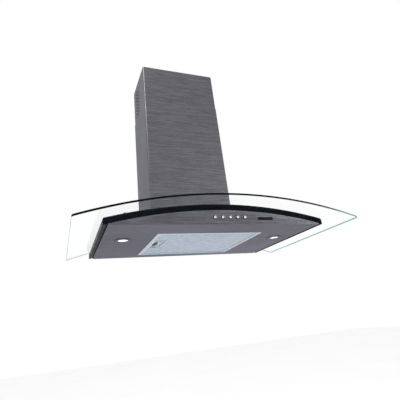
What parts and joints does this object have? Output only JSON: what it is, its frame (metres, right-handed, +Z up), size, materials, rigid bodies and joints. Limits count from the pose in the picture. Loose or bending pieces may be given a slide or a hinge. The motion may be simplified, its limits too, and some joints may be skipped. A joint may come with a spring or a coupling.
{
  "type": "range hood",
  "caption": "Wall-mounted chimney range hood with a curved glass canopy, mesh grease filter, lamps, push buttons and a telescopic chimney around its blower.",
  "frame": {"origin": "centre of the four wall fixing holes, on the back face that meets the wall", "axes": "+X to the right seen from the front, +Y into the wall, +Z up"},
  "size_m": [0.9, 0.545, 0.8024],
  "materials": {
    "stainless": "fine horizontal brushing",
    "frame_paint": "satin black",
    "galvanised": "galvanised sheet",
    "gasket_rubber": "matt",
    "canopy_glass": "clear tempered, ground edge",
    "nylon": "natural",
    "fastener": "plated",
    "badge_plate": "plain satin",
    "chrome_trim": "polished",
    "black_plastic": "fine texture",
    "circuit_board": "solder mask",
    "filter_aluminium": "expanded mesh",
    "latch_metal": "satin",
    "latch_grip": "fine texture",
    "lamp_glass": "frosted",
    "reflector": "bright",
    "lamp_ceramic": "heat-proof",
    "bulb_glass": "clear",
    "motor_steel": "zinc",
    "fan_plastic": "moulded",
    "capacitor_can": "drawn can"
  },
  "bodies": {
    "root": {"canopy_frame": "frame_paint", "base_tray": "stainless", "control_fascia": "stainless", "lower_chimney": "stainless", "canopy_deck": "galvanised", "blower_box": "galvanised", "hanging_plate": "galvanised", "outlet_collar": "galvanised", "outlet_flange": "galvanised", "motor_bracket": "galvanised", "glass_gasket": "gasket_rubber", "glass_canopy": "canopy_glass", "glass_bushes": "nylon", "glass_screws": "fastener", "frame_screws": "fastener", "damper_pins": "fastener", "badge": "badge_plate", "button_bezels": "chrome_trim", "lamp_bezel_left": "chrome_trim", "lamp_bezel_right": "chrome_trim", "switch_housing": "black_plastic", "button_switches": "black_plastic", "terminal_box": "black_plastic", "terminal_cover": "black_plastic", "cable_gland": "black_plastic", "blower_scroll": "black_plastic", "switch_board": "circuit_board", "lamp_lens_left": "lamp_glass", "lamp_lens_right": "lamp_glass", "lamp_reflector_left": "reflector", "lamp_reflector_right": "reflector", "lamp_holder_left": "lamp_ceramic", "lamp_holder_right": "lamp_ceramic", "lamp_bulb_left": "bulb_glass", "lamp_bulb_right": "bulb_glass", "motor": "motor_steel", "capacitor": "capacitor_can"},
    "filter": {"filter_frame": "filter_aluminium", "filter_mesh": "filter_aluminium", "filter_hooks": "galvanised", "latch_housing": "latch_metal"},
    "filter_latch": {"latch_slider": "latch_grip"},
    "fan": {"motor_shaft": "fastener", "impeller_hub": "fan_plastic", "impeller_rings": "fan_plastic", "impeller_blades": "fan_plastic"},
    "flap_front": {"damper_flap_front": "black_plastic"},
    "flap_back": {"damper_flap_back": "black_plastic"},
    "chimney_cover": {"upper_chimney": "stainless", "chimney_bracket": "galvanised", "chimney_screws": "fastener"},
    "button_1": {"button_1": "chrome_trim"},
    "button_2": {"button_2": "chrome_trim"},
    "button_3": {"button_3": "chrome_trim"},
    "button_4": {"button_4": "chrome_trim"},
    "button_5": {"button_5": "chrome_trim"}
  },
  "joints": [
    {"name": "button_1_press", "type": "slide", "parent": "root", "child": "button_1", "axis": [0, 1, 0], "range_m": [0, 0.0025], "stiffness_N_per_m": 400},
    {"name": "button_2_press", "type": "slide", "parent": "root", "child": "button_2", "axis": [0, 1, 0], "range_m": [0, 0.0025], "stiffness_N_per_m": 400},
    {"name": "button_3_press", "type": "slide", "parent": "root", "child": "button_3", "axis": [0, 1, 0], "range_m": [0, 0.0025], "stiffness_N_per_m": 400},
    {"name": "button_4_press", "type": "slide", "parent": "root", "child": "button_4", "axis": [0, 1, 0], "range_m": [0, 0.0025], "stiffness_N_per_m": 400},
    {"name": "button_5_press", "type": "slide", "parent": "root", "child": "button_5", "axis": [0, 1, 0], "range_m": [0, 0.0025], "stiffness_N_per_m": 400},
    {"name": "filter_drop", "type": "hinge", "parent": "root", "child": "filter", "pos_m": [0.1885, -0.204, -0.2494], "axis": [0, -1, 0], "range_deg": [0, 80]},
    {"name": "latch_pull", "type": "slide", "parent": "filter", "child": "filter_latch", "axis": [1, 0, 0], "range_m": [0, 0.008], "stiffness_N_per_m": 300},
    {"name": "fan_spin", "type": "hinge", "parent": "root", "child": "fan", "pos_m": [0, -0.1, -0.06], "axis": [1, 0, 0], "continuous": true},
    {"name": "flap_front_open", "type": "hinge", "parent": "root", "child": "flap_front", "pos_m": [0, -0.108, 0.1012], "axis": [-1, 0, 0], "range_deg": [0, 80]},
    {"name": "flap_back_open", "type": "hinge", "parent": "root", "child": "flap_back", "pos_m": [0, -0.1, 0.1012], "axis": [1, 0, 0], "range_deg": [0, 80]},
    {"name": "chimney_extend", "type": "slide", "parent": "root", "child": "chimney_cover", "axis": [0, 0, 1], "range_m": [-0.15, 0.2]}
  ]
}
